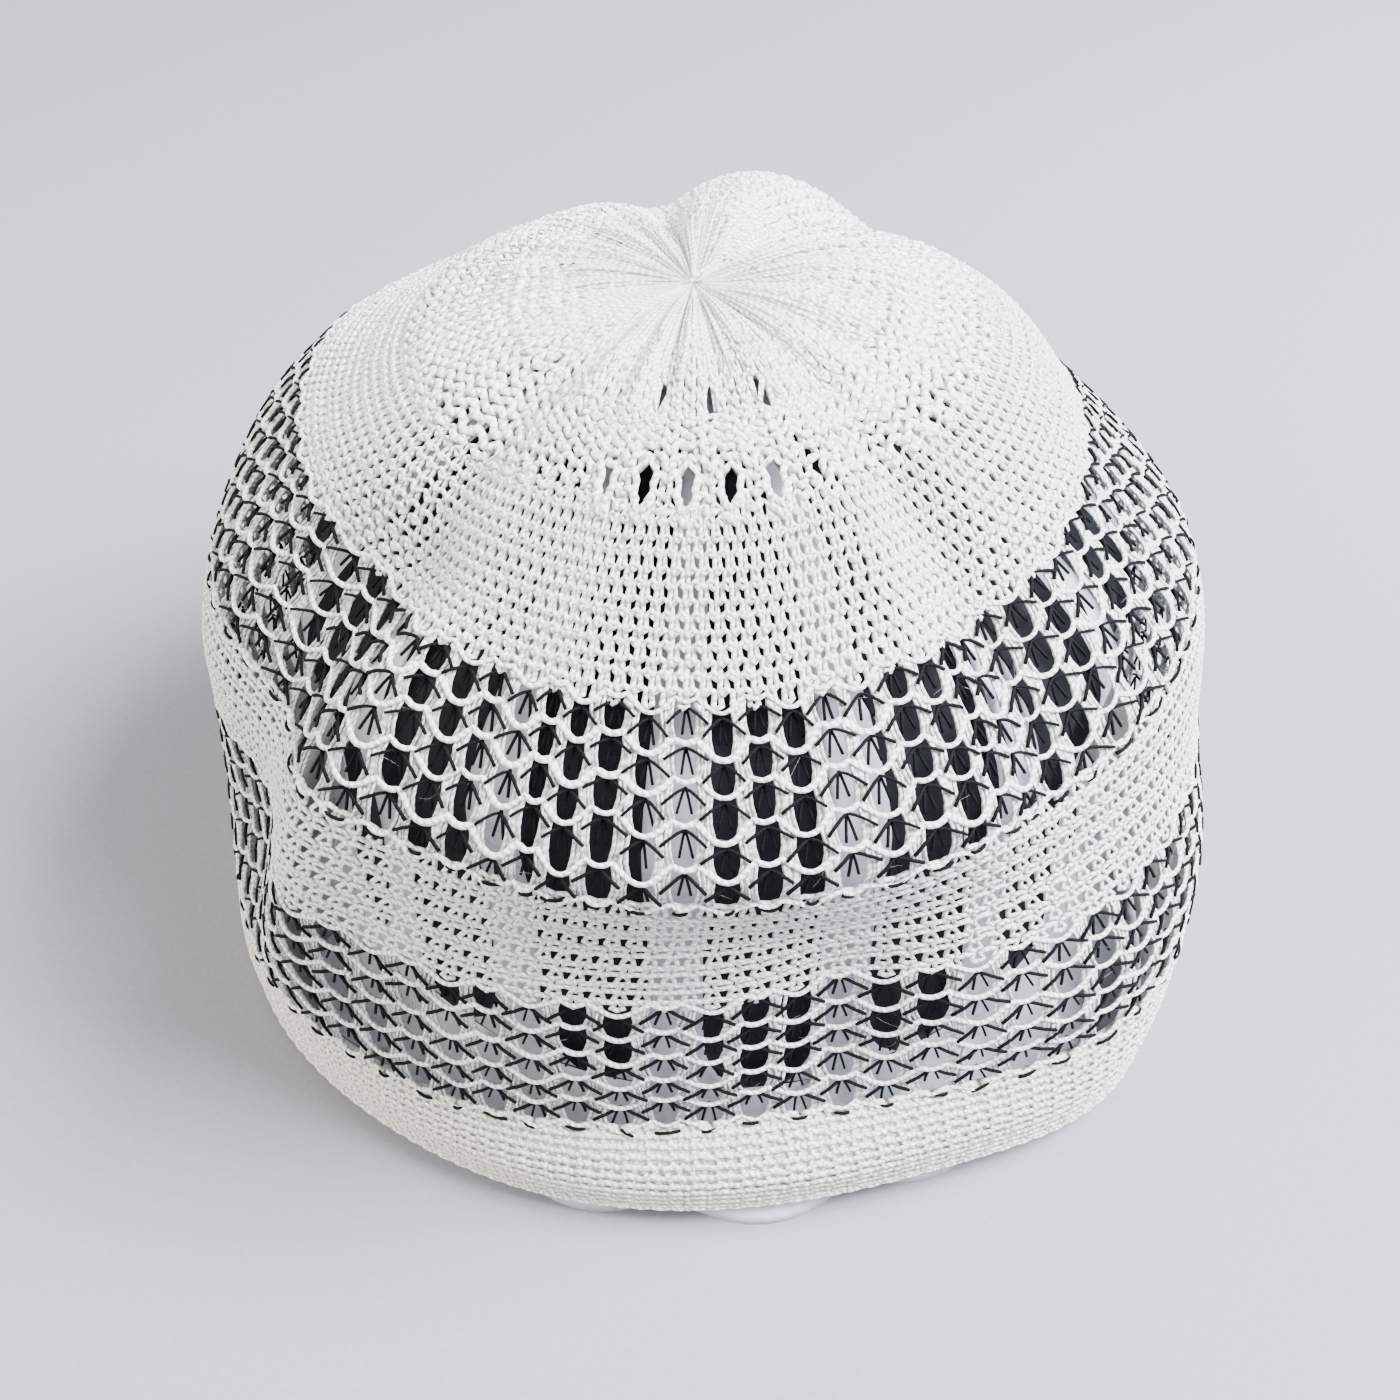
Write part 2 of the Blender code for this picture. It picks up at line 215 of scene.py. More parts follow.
def hat_surface(bearing, station):
    """Points of the hat's outer face: the turned outline, moved out and along by every fold.

    A fold's strength is a bell curve across its width, times a smooth rise and fall along the cloth.
    """
    bearing, station = np.broadcast_arrays(np.asarray(bearing, float), np.asarray(station, float))
    out = np.zeros(bearing.shape)
    up = np.zeros(bearing.shape)
    share = station / HAT.length
    for _, foot, top, half_width, grows_from, grown_at, fades_from, gone_at, out_by, up_by in FOLDS:
        middle = foot + (top - foot) * share
        across = turned_from(bearing, middle) / half_width
        rise = smooth_step((station - grows_from) / (grown_at - grows_from))
        fall = smooth_step((station - fades_from) / (gone_at - fades_from))
        strength = np.exp(-across**2) * rise * (1.0 - fall)
        out += out_by * strength
        up += up_by * strength
    radius, height, radius_rate, height_rate = HAT.at(station + up)
    length = np.hypot(radius_rate, height_rate)
    radius = radius + out * height_rate / length
    height = height - out * radius_rate / length
    angle = np.radians(bearing)
    x = radius * np.sin(angle) + HAT_MIDDLE[0]
    y = -radius * np.cos(angle) + HAT_MIDDLE[1]
    return np.stack((x, y, height), axis=-1)


def unit(vectors):
    """The same directions with length 1."""
    return vectors / np.maximum(np.linalg.norm(vectors, axis=-1, keepdims=True), 1e-9)


def on_cloth(bearing, station, lift):
    """Points at a lift above the cloth, and the cloth's outward direction there.

    The direction is the cross product of a small step round the hat and a small step along the cloth.
    """
    step = 0.4
    bearing, station, lift = np.broadcast_arrays(bearing, station, lift)
    low = np.clip(station - step, 0.0, HAT.length - 2 * step)
    high = low + 2 * step
    along = hat_surface(bearing, high) - hat_surface(bearing, low)
    around = hat_surface(bearing + step, station) - hat_surface(bearing - step, station)
    outward = unit(np.cross(around, along))
    return hat_surface(bearing, station) + lift[..., None] * outward, outward


def strands(points, outward, half_width, half_depth, sides, closed=False):
    """Vertices, faces and UV of many yarns at once, each a flat-oval tube along its own row of points.

    Round each point the section is the side direction times half the width times a cosine, plus the
    outward direction times half the depth times a sine. U is millimetres along the yarn and V the share
    round it.
    """
    count, steps = points.shape[:2]
    if closed:
        ahead = np.roll(points, -1, axis=1) - np.roll(points, 1, axis=1)
    else:
        ahead = np.gradient(points, axis=1)
    ahead = unit(ahead)
    side = unit(np.cross(ahead, outward))
    face = np.cross(side, ahead)
    half_width = np.broadcast_to(half_width, (count, steps))[..., None, None]
    half_depth = np.broadcast_to(half_depth, (count, steps))[..., None, None]
    turn = np.arange(sides) * TURN / sides + TURN / (2 * sides)
    ring = (half_width * np.cos(turn)[:, None] * side[:, :, None, :]
            + half_depth * np.sin(turn)[:, None] * face[:, :, None, :])
    vertices = (points[:, :, None, :] + ring).reshape(-1, 3)
    spans = steps if closed else steps - 1
    strand = np.arange(count)[:, None, None] * steps * sides
    here = np.arange(spans)[None, :, None]
    there = (here + 1) % steps
    k = np.arange(sides)[None, None, :]
    after = (k + 1) % sides
    corners = (strand + here * sides + k, strand + there * sides + k,
               strand + there * sides + after, strand + here * sides + after)
    faces = [np.stack(np.broadcast_arrays(*corners), axis=-1).reshape(-1, 4)]
    lengths = np.linalg.norm(np.diff(points, axis=1, append=points[:, :1]), axis=-1)
    run = np.concatenate((np.zeros((count, 1)), np.cumsum(lengths, axis=1)), axis=1)
    u_here, u_there = run[:, :spans, None], run[:, 1:spans + 1, None]
    v_here, v_after = k / sides, (k + 1) / sides
    uv = [np.stack([np.stack(np.broadcast_arrays(u, v), axis=-1) for u, v in
                    ((u_here, v_here), (u_there, v_here), (u_there, v_after), (u_here, v_after))],
                   axis=-2).reshape(-1, 2)]
    if not closed:
        strand = np.arange(count)[:, None] * steps * sides
        k = np.arange(sides)[None, :]
        faces += [strand + k, strand + (steps - 1) * sides + (sides - 1 - k)]
        uv += [np.zeros((count * sides, 2))] * 2
    return vertices, faces, uv


def join(*parts):
    """One set of vertices, faces and UV from several."""
    vertices, faces, uv, start = [], [], [], 0
    for part_vertices, part_faces, part_uv in parts:
        vertices.append(part_vertices)
        faces += [face + start for face in part_faces]
        uv += part_uv
        start += len(part_vertices)
    return np.concatenate(vertices), faces, uv


def new_object(name, data):
    """A new object in the scene for a mesh, a light or a camera."""
    thing = bpy.data.objects.new(name, data)
    bpy.context.scene.collection.objects.link(thing)
    return thing


def add_piece(name, shape, materials, replaced, material_index=None):
    """Put a mesh of quads, triangles and end caps into the scene, attach it to the root, and hide the part
    it replaces.
    """
    vertices, faces, uv = shape
    sizes = np.concatenate([np.full(len(face), face.shape[1]) for face in faces])
    loops = np.concatenate([face.ravel() for face in faces]).astype(np.int32)
    mesh = bpy.data.meshes.new(name)
    mesh.vertices.add(len(vertices))
    mesh.vertices.foreach_set("co", (vertices * MM).astype(np.float32).ravel())
    mesh.loops.add(len(loops))
    mesh.loops.foreach_set("vertex_index", loops)
    mesh.polygons.add(len(sizes))
    starts = np.concatenate(([0], np.cumsum(sizes)[:-1]))
    mesh.polygons.foreach_set("loop_start", starts.astype(np.int32))
    if material_index is not None:
        mesh.polygons.foreach_set("material_index", material_index.astype(np.int32))
    layer = mesh.uv_layers.new(name="yarn")
    layer.data.foreach_set("uv", np.concatenate(uv).astype(np.float32).ravel())
    mesh.update(calc_edges=True)
    mesh.shade_smooth()
    for material in materials:
        mesh.materials.append(material)
    piece = new_object(name, mesh)
    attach(piece, "root")
    if replaced:
        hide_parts(replaced)


def srgb(code):
    """A hex colour as linear red, green, blue and 1."""
    values = [int(code[i:i + 2], 16) / 255.0 for i in (1, 3, 5)]
    return tuple(v / 12.92 if v <= 0.04045 else ((v + 0.055) / 1.055) ** 2.4 for v in values) + (1.0,)


def new_material(name, values):
    """A material with one Principled shader set to these values, and that shader."""
    material = bpy.data.materials.new(name)
    material.use_nodes = True
    shader = material.node_tree.nodes["Principled BSDF"]
    for key, value in values.items():
        shader.inputs[key].default_value = value
    return material, shader


def feed(material, node, links):
    """Link a node's inputs, by name or number, from other nodes' outputs."""
    for key, source in links.items():
        material.node_tree.links.new(source, node.inputs[key])


def add_node(material, kind, settings=None, values=None, links=None):
    """Add one node, set its properties and its inputs' values, and link its inputs."""
    node = material.node_tree.nodes.new(kind)
    for key, value in (settings or {}).items():
        setattr(node, key, value)
    for key, value in (values or {}).items():
        node.inputs[key].default_value = value
    feed(material, node, links or {})
    return node


def tone_by(material, value, stops):
    """The colour that belongs to a value, from stops of place and hex colour."""
    tone = add_node(material, "ShaderNodeValToRGB", links={"Fac": value})
    ramp = tone.color_ramp
    while len(ramp.elements) > 1:
        ramp.elements.remove(ramp.elements[-1])
    ramp.elements[0].position, ramp.elements[0].color = stops[0][0], srgb(stops[0][1])
    for place, colour in stops[1:]:
        ramp.elements.new(place).color = srgb(colour)
    return tone.outputs["Color"]


def bump_by(material, shader, height, strength, distance):
    """Bump the shader's surface by a height, of which 1 is this distance in metres."""
    bump = add_node(material, "ShaderNodeBump", values={"Strength": strength, "Distance": distance},
                    links={"Height": height})
    feed(material, shader, {"Normal": bump.outputs["Normal"]})


def object_noise(material, scale, detail):
    """Noise over the object's own coordinates, its scale in waves to the metre."""
    space = add_node(material, "ShaderNodeTexCoord")
    noise = add_node(material, "ShaderNodeTexNoise", values={"Scale": scale, "Detail": detail},
                     links={"Vector": space.outputs["Object"]})
    return noise.outputs["Fac"]


def scaled(material, vector, scale):
    """A vector output, times a scale along each of its axes."""
    node = add_node(material, "ShaderNodeMapping", values={"Scale": scale}, links={"Vector": vector})
    return node.outputs["Vector"]


def ply_wave(material, twist, values):
    """The yarn's own UV, and a wave on it for the plies: along it over the twist, plus once round it."""
    place = add_node(material, "ShaderNodeUVMap", {"uv_map": "yarn"}).outputs["UV"]
    plies = add_node(material, "ShaderNodeTexWave", {"bands_direction": "DIAGONAL"},
                     {"Scale": 0.7, **values}, {"Vector": scaled(material, place, (1.0 / twist, 1.0, 1.0))})
    return place, plies.outputs["Fac"]


def cotton_yarn(name, light, shade, warm=None):
    """Mercerised cotton yarn, spun and plied, then machine knitted.

    The plies give slanting ridges along each strand, and the fibres soft streaks that run with it. The
    fibres are noise drawn out along the yarn's UV, shifted by the place on the hat so that no two strands
    look the same. A warm tint, if there is one, grows towards the gathered middle of the crown.
    """
    material, shader = new_material(name, {"Roughness": 0.82, "IOR": 1.53, "Sheen Weight": 0.25,
                                           "Sheen Roughness": 0.45})
    yarn_uv, plies = ply_wave(material, YARN_TWIST, {"Distortion": 1.2, "Detail": 2.0, "Detail Scale": 2.0})
    space = add_node(material, "ShaderNodeTexCoord").outputs["Object"]
    drawn = add_node(material, "ShaderNodeVectorMath", {"operation": "ADD"},
                     links={0: scaled(material, space, (700.0, 700.0, 700.0)),
                            1: scaled(material, yarn_uv, (0.5, 9.0, 1.0))})
    fibres = add_node(material, "ShaderNodeTexNoise",
                      values={"Scale": 1.6, "Detail": 3.0, "Roughness": 0.75},
                      links={"Vector": drawn.outputs["Vector"]})
    height = add_node(material, "ShaderNodeMath", {"operation": "MULTIPLY_ADD"}, {1: 0.55},
                      {0: plies, 2: fibres.outputs["Fac"]}).outputs["Value"]
    bump_by(material, shader, height, 1.0, 0.0003)
    # The tone runs from shade in the ply grooves and low fibres to light on the ridges: painted shade and
    # light, with random tone from the fibres
    colour = tone_by(material, height, ((0.42, shade), (0.92, light)))
    if warm:
        crown_middle = (HAT_MIDDLE[0] * MM, HAT_MIDDLE[1] * MM, RINGS[-1][2] * MM)
        away = add_node(material, "ShaderNodeVectorMath", {"operation": "DISTANCE"}, {1: crown_middle},
                        {0: space})
        near = add_node(material, "ShaderNodeMapRange", {"interpolation_type": "SMOOTHSTEP"},
                        {"From Min": 0.030, "From Max": 0.004, "To Min": 0.0, "To Max": 0.8},
                        {"Value": away.outputs["Value"]})
        mixed = add_node(material, "ShaderNodeMix", {"data_type": "RGBA", "blend_type": "MULTIPLY"},
                         {"B": srgb(warm)}, {"Factor": near.outputs["Result"], "A": colour})
        colour = mixed.outputs["Result"]
    feed(material, shader, {"Base Color": colour})
    return material


def black_thread():
    """Fine black polyester thread, twisted: nearly black, with a slight silky shine on its ridges."""
    material, shader = new_material("black_polyester_thread", {"Roughness": 0.75, "IOR": 1.5,
                                                               "Specular IOR Level": 0.08})
    plies = ply_wave(material, THREAD_TWIST, {})[1]
    bump_by(material, shader, plies, 0.4, 0.00006)
    # The ply ridges are a touch lighter than the grooves: painted highlight and shade
    feed(material, shader, {"Base Color": tone_by(material, plies, ((0.2, "#060607"), (0.9, "#0E0F12")))})
    return material


def stand_plastic():
    """Injection-moulded ABS in a cool white, toned down to light grey as painted shade: glossy, with a
    faint ripple and a few dull marks.
    """
    material, shader = new_material("moulded_white_abs_painted_shade", {"IOR": 1.53, "Coat Weight": 0.3,
                                                          "Coat Roughness": 0.12})
    bump_by(material, shader, object_noise(material, 55.0, 2.0), 0.12, 0.0006)
    marks = object_noise(material, 380.0, 4.0)
    dull = add_node(material, "ShaderNodeMapRange",
                    values={"From Min": 0.35, "From Max": 0.75, "To Min": 0.2, "To Max": 0.42},
                    links={"Value": marks})
    # Light grey rather than the plastic's white: painted shade for the hat's shade over the stand, mottled
    # by the marks' noise
    colour = tone_by(material, marks, ((0.3, "#BFC2CC"), (0.7, "#CED1D9")))
    feed(material, shader, {"Roughness": dull.outputs["Result"], "Base Color": colour})
    return material


def painted_slot_shade():
    """Painted shade for the stand's slots: a near-black matt floor with a slight mottle, in place of the
    unlit shade seen down through open slots.
    """
    material, shader = new_material("painted_shade_slot_floor", {"Roughness": 0.6, "Specular IOR Level": 0.12})
    mottle = object_noise(material, 160.0, 2.0)
    bump_by(material, shader, mottle, 0.15, 0.0004)
    feed(material, shader, {"Base Color": tone_by(material, mottle, ((0.3, "#15171B"), (0.7, "#1F2227")))})
    return material


# Where the columns are drawn out, or pressed together if negative: a bearing, half a width and the extra
# share. The lower rows hold in the hem and the lower net, the upper ones from the upper net up.
LOWER_SPREADS = ((8, 26, 0.28), (-40, 14, 0.16), (42, 14, 0.10))
UPPER_SPREADS = ((0, 26, 0.04), (-57, 17, 0.38), (59, 16, 0.42), (-46, 5, 0.16), (-16, 4, -0.22),
                 (25, 6, 0.18), (38, 5, -0.18))
LOWER_FIRST, UPPER_FIRST = -3.3, -0.8  # bearing of the first column
LOWER_UNTIL, UPPER_FROM = 46.0, 82.0  # stations between which one spacing passes into the other


def spaced(place, spreads):
    """Bearings of evenly numbered places once the columns are drawn out and pressed together.

    The columns' width is 1 plus a bell curve for each spread, and the bearing is its running sum, scaled
    so that all the columns go round once.
    """
    grid = np.linspace(-180.0, 180.0, 1441)
    width = np.ones_like(grid)
    for bearing, half_width, extra in spreads:
        width += extra * np.exp(-((grid - bearing) / half_width) ** 2)
    running = np.concatenate(([0.0], np.cumsum(2.0 / (width[1:] + width[:-1]))))
    running = running / running[-1] * 360.0
    running -= np.interp(0.0, grid, running)
    inside = turned_from(place, 0.0)
    inside = np.where(inside < running[0], inside + 360.0,
                      np.where(inside > running[-1], inside - 360.0, inside))
    return np.interp(inside, running, grid) + (place - inside)


def column_bearing(column, columns, station):
    """The bearing of a column counted from the front, in the lower spacing or higher up in the upper."""
    column, station = np.broadcast_arrays(np.asarray(column, float), np.asarray(station, float))
    place = column * 360.0 / columns
    upper = smooth_step((station - LOWER_UNTIL) / (UPPER_FROM - LOWER_UNTIL))
    return ((1.0 - upper) * (spaced(place, LOWER_SPREADS) + LOWER_FIRST)
            + upper * (spaced(place, UPPER_SPREADS) + UPPER_FIRST))


def on_net(column, station, lift):
    """Points above the cloth, placed by the net's columns, and the cloth's outward direction there."""
    return on_cloth(column_bearing(column, NET_COLUMNS, station), station, lift)


def uneven(rng, shape, size):
    """Small random amounts, one for each stitch, smoothed a little round the hat."""
    noise = rng.normal(0.0, size, shape)
    return (noise + np.roll(noise, 1, axis=-1) + np.roll(noise, -1, axis=-1)) / 1.9


def per_stitch(values, steps):
    """Stretch one value a stitch to a value at every point of the yarn, straight between the stitches."""
    share = np.arange(steps) / steps
    ahead = np.roll(values, -1, axis=-1)
    return (values[..., None] * (1.0 - share) + ahead[..., None] * share).reshape(*values.shape[:-1], -1)


def even_courses(low, high, count, alternate):
    """Stations and heights of even courses, every second one moved up by a share and the others down."""
    height = (high - low) / count
    courses = low + (np.arange(count) + 0.5) * height
    courses += alternate * height * np.where(np.arange(count) % 2, 1.0, -1.0)
    return courses, np.full(count, height)


def knit_band(courses, heights, columns, look, seed):
    """Yarns of plain knit seen from its purl side, one closed yarn for each course.

    Along a yarn, t counts stitches. It sways sideways by a sine of twice the stitch's turn, so that each
    loop is narrow at its waist, less a sine of one turn, which widens the loops' heads and closes their
    feet. It rises and falls by a cosine of one turn, and comes out of the cloth at the loops' heads and
    feet by a cosine of two turns. Every second course rises more and is swayed aside.
    """
    rng = np.random.default_rng(seed)
    t = np.arange(columns * STITCH_STEPS) / STITCH_STEPS
    rows = len(courses)
    shift, rise, proud = (per_stitch(uneven(rng, (rows, columns), look["jitter"]), STITCH_STEPS)
                          for _ in range(3))
    turn = TURN * t[None, :]
    second = np.where(np.arange(rows) % 2, 1.0, -1.0)[:, None]
    column = t[None, :] + look["waist"] * np.sin(2 * turn) - look["skew"] * np.sin(turn) + shift
    column = column + look["sway"] * second
    reach = look["reach"] * (1.0 + look["uneven"] * second)
    station = courses[:, None] + heights[:, None] * (rise - reach * np.cos(turn))
    lift = look["lift"] + look["depth"] * np.cos(2 * turn) + proud
    return column, station, lift


def yarn_width(station, columns, share, least, most):
    """Half the yarn's width: a share of the local column's width, between two limits."""
    return np.clip(share * TURN * HAT.at(station)[0] / columns, least, most)


def hem_knit(material):
    """The dense rim: thick yarn in eleven courses over a core sheet, with a rolled edge at its foot."""
    lowest, edge_station, edge_steps = 0.6, 0.75, 720
    courses, heights = even_courses(0.0, HEM_TOP, 11, 0.0)
    look = dict(PURL, skew=0.0, reach=0.6, waist=0.2, uneven=0.0, depth=0.2, lift=-0.42)
    column, station, lift = knit_band(courses, heights, KNIT_COLUMNS, look, seed=11)
    station = np.maximum(station, lowest)
    bearing = column_bearing(column, KNIT_COLUMNS, station)
    rows = strands(*on_cloth(bearing, station, lift), *HEM_YARN, closed=True)
    bearing = np.arange(edge_steps) / edge_steps * 360.0
    lift = -0.55 + 0.12 * np.sin(np.radians(bearing) * KNIT_COLUMNS)
    edge = strands(*on_cloth(bearing[None, :], edge_station, lift[None, :]), *HEM_EDGE, closed=True)
    sheet = core_sheet(0.5, HEM_TOP - 0.4, outer_lift=-0.55, inner_lift=-1.7)
    add_piece("hem_knit", join(rows, edge, sheet), [material], "hem_band")


def skin_quads(row, rows, columns):
    """Quads all round from each of these rows of points to the next; after the last comes the first."""
    column = np.arange(columns)[None, :]
    above, beside = (row + 1) % rows, (column + 1) % columns
    corners = (row * columns + column, row * columns + beside, above * columns + beside,
               above * columns + column)
    return np.stack(np.broadcast_arrays(*corners), axis=-1).reshape(-1, 4)


def closed_rows(points):
    """A closed skin from rows of points once round each, up the outside and down the inside."""
    rows, columns = points.shape[:2]
    faces = skin_quads(np.arange(rows)[:, None], rows, columns)
    return points.reshape(-1, 3), [faces], [np.zeros((faces.size, 2))]


def core_sheet(low, high, outer_lift, inner_lift):
    """A thin closed band of cloth inside the yarns, so that light doesn't pass between them."""
    round_steps, row_height = 180, 3.0
    bearing = np.arange(round_steps) * 360.0 / round_steps
    along = max(3, int((high - low) / row_height))
    rise = np.linspace(low, high, along)
    station = np.concatenate((rise, rise[::-1]))
    lift = np.concatenate((np.full(along, outer_lift), np.full(along, inner_lift)))
    return closed_rows(on_cloth(bearing[None, :], station[:, None], lift[:, None])[0])


def middle_knit(material):
    """The band between the nets: wavy courses with a hole at each stitch, larger in every second course.

    In the front fold the courses crowd towards the foot, by a parabola of their share of the band's height.
    """
    fold_bearing, fold_half_width, crowding = 2.0, 28.0, 0.3
    tall = UPPER_FOOT - LOWER_TOP
    courses, heights = even_courses(LOWER_TOP, UPPER_FOOT, 12, 0.1)
    look = dict(PURL, waist=0.23, skew=0.09, reach=0.54, uneven=0.14, depth=0.2)
    column, station, lift = knit_band(courses, heights, KNIT_COLUMNS, look, seed=12)
    bearing = column_bearing(column, KNIT_COLUMNS, station)
    share = (station - LOWER_TOP) / tall
    slack = crowding * np.exp(-(turned_from(bearing, fold_bearing) / fold_half_width) ** 2)
    station = station - slack * share * (1.0 - share) * tall
    half = yarn_width(station, KNIT_COLUMNS, 0.166, 0.44, 0.6)
    shape = strands(*on_cloth(bearing, station, lift), half, 0.29, 4, closed=True)
    add_piece("middle_knit", shape, [material], "middle_band")


def crown_knit(material):
    """The crown from the upper net to the eyelets: fine courses with a small hole at each stitch."""
    courses, heights = even_courses(UPPER_TOP, EYELETS, 13, 0.03)
    look = dict(PURL, waist=0.16, skew=0.07, reach=0.74, uneven=0.05, depth=0.32, sway=0.16)
    column, station, lift = knit_band(courses, heights, KNIT_COLUMNS, look, seed=13)
    bearing = column_bearing(column, KNIT_COLUMNS, station)
    half = yarn_width(station, KNIT_COLUMNS, 0.222, 0.3, 0.6)
    shape = strands(*on_cloth(bearing, station, lift), half, np.minimum(half, 0.42), 4, closed=True)
    add_piece("crown_knit", shape, [material], "crown")


def slit_push(column, station, slit):
    """How far the yarn moves aside round the crown's slits, in columns and millimetres.

    In a frame where a slit is a circle of radius 1, a point at distance d from its middle moves out to the
    square root of d squared plus 1, less a share that fades with distance.
    """
    every, first, height, half_width, half_height = slit
    nearest = np.round((column - first) / every) * every + first
    turned = turned_from(nearest * 360.0 / NET_COLUMNS, SLITS_FACE)
    opened = SLITS_SHUT + (1.0 - SLITS_SHUT) * np.exp(-(turned / SLITS_OPEN) ** 8)
    across = (column - nearest) / half_width
    rise = (station - EYELETS - height) / half_height
    distance = np.hypot(across, rise)
    moved = np.sqrt(distance**2 + opened**2)
    growth = (moved / np.maximum(distance, 1e-6) - 1.0) * np.exp(-(distance / SLIT_REACH) ** 2)
    return across * growth * half_width, rise * growth * half_height


def pleats(bearing, station):
    """Height of the gathered crown's pleats: waves of uneven width that die out towards the knit.

    A wave's phase is the bearing bent by two slower sines, so that some pleats are wide and some narrow.
    The waves rise from the knit by a smooth step, and sink by a square root at the crown's middle.
    """
    rise_from, rise_length, sink_length = PLEATS_FROM - 10.0, 15.0, 14.0
    angle = np.radians(bearing)
    phase = 17.0 * angle + 1.9 * np.sin(3.0 * angle + 0.7) + 1.2 * np.sin(5.0 * angle + 2.0)
    fine = 53.0 * angle + 1.5 * np.sin(5.0 * angle)
    sink = np.sqrt(np.clip((HAT.length - station) / sink_length, 0.0, 1.0))
    share = smooth_step((station - rise_from) / rise_length) * sink
    return share * (0.6 * np.sin(phase) + 0.1 * np.sin(fine))


def pleat_sheet():
    """The gathered middle of the crown: a thin closed sheet in radial pleats.

    It lies deepest where the knit covers it, and rises by a smooth step towards the middle.
    """
    round_steps, along, inner_lift = 420, 20, -2.0
    bearing = np.arange(round_steps)[None, :] * 360.0 / round_steps
    rise = np.linspace(PLEATS_FROM + 3.5, HAT.length - 0.35, along)
    station = np.concatenate((rise, rise[::-1]))[:, None]
    sunk = -1.3 + 0.9 * smooth_step((rise - PLEATS_FROM - 2.0) / 10.0)
    outer = sunk[:, None] + pleats(bearing, rise[:, None])
    lift = np.concatenate((outer, np.full((along, round_steps), inner_lift)))
    return closed_rows(on_cloth(bearing, station, lift)[0])


def crown_loops():
    """The knit above the eyelets: long stitches, half as many round as below, parted by the slits.

    Towards the gathered middle the loops grow longer and flatter, and three sines make the courses wander.
    """
    drawn_from, drawn_length = 150.0, 10.0
    heights = np.array([2.0, 2.1, 2.1, 2.0, 1.9, 1.9, 2.1, 2.4, 2.6, 2.7, 2.8, 2.8, 2.8, 2.8])
    courses = EYELETS + np.cumsum(heights) - 0.5 * heights
    drawn_in = smooth_step((courses - drawn_from) / drawn_length)[:, None]
    look = dict(PURL, waist=0.15 - 0.1 * drawn_in, skew=0.02, reach=0.85 + 0.55 * drawn_in, uneven=0.05,
                depth=0.42 - 0.24 * drawn_in, lift=-0.6, jitter=0.08)
    column, station, lift = knit_band(courses, heights, NET_COLUMNS, look, seed=14)
    angle = TURN * column / NET_COLUMNS
    station = station + drawn_in * (1.3 * np.sin(5.0 * angle + 1.0) + 0.9 * np.sin(11.0 * angle)
                                    + 0.6 * np.sin(23.0 * angle + 2.0))
    # The lower slits part whole courses, the upper ones each point of the yarn
    aside, along = slit_push(column, courses[:, None] + 0 * column, SLITS[0])
    column, station = column + aside, station + along
    aside, along = slit_push(column, station, SLITS[1])
    column, station = column + aside, station + along
    bearing = column_bearing(column, NET_COLUMNS, station)
    lift = lift + pleats(bearing, station)
    # Off the front, where the cloth isn't stretched, the yarns fill more of their columns
    front_cosine, front_fade, wider = 0.87, 0.2, 0.22
    off_front = smooth_step((front_cosine - np.cos(np.radians(bearing))) / front_fade)
    half = yarn_width(station, NET_COLUMNS, 0.26, 0.3, 0.66) * (1.0 + wider * off_front)
    beads = 1.0 + 0.18 * np.cos(2 * TURN * np.arange(half.shape[1]) / STITCH_STEPS)[None, :]
    return strands(*on_cloth(bearing, station, lift), half * beads, np.minimum(half, 0.5) * beads, 4,
                   closed=True)


def gathered_strands():
    """Single yarns that run along the pleats and end short of the crown's middle at random places."""
    rng = np.random.default_rng(15)
    count = 2 * NET_COLUMNS
    share = np.linspace(0.0, 1.0, 12)[None, :]
    first = rng.uniform(PLEATS_FROM - 3.0, HAT.length - 14.0, (count, 1))
    last = rng.uniform(0.75, 0.99, (count, 1)) * (HAT.length - first) + first
    run = first + (last - first) * share
    sideways = rng.normal(0.0, 0.9, (count, 1)) * (1.0 + 0.4 * np.sin(3.0 * share))
    bearing = (np.arange(count)[:, None] + sideways) * 360.0 / count
    lift = (-0.62 + rng.normal(0.0, 0.1, (count, 1)) + 0.3 * smooth_step((run - PLEATS_FROM) / 12.0)
            - 0.5 * (2.0 * share - 1.0) ** 4 + pleats(bearing, run))
    half = yarn_width(run, count, 0.8, 0.07, 0.42)
    return strands(*on_cloth(bearing, run, lift), half, np.minimum(half, 0.26), 4)


def yarn_end():
    """The short end of yarn that sticks out of the crown's middle, to the right and up."""
    right = np.array([-1.2, -0.5, 0.7, 2.4])
    up = np.array([0.9, 1.9, 2.6, 3.1])
    root = HAT.at(HAT.length - 1.0)[1] - 1.9
    tip = np.stack((HAT_MIDDLE[0] + right, HAT_MIDDLE[1] + right * 0.9, root + up), axis=-1)
    return strands(tip[None], np.broadcast_to((0.0, 0.0, 1.0), (1, 4, 3)), *END_YARN)


def crown_top(material):
    """The crown above the eyelets: its knit and the gathered middle."""
    shape = join(crown_loops(), gathered_strands(), yarn_end(), pleat_sheet())
    add_piece("crown_gather", shape, [material], "crown")


def net_nodes(low, high, rng):
    """Stations of the net's cross strands at every column: even rows, odd columns lower by the stagger.

    The first and the last row, which the solid bands hold, are staggered less.
    """
    height = (high - low) / NET_ROWS
    row = np.arange(NET_ROWS + 1)
    odd = np.where(np.arange(NET_COLUMNS) % 2, -1.0, 1.0)
    free = np.where(row == 0, 0.45, np.where(row == NET_ROWS, 0.7, 1.0))
    nodes = (low + row * height)[:, None] + STAGGER * height * odd[None, :] * free[:, None]
    return nodes + uneven(rng, nodes.shape, 0.36) * free[:, None]


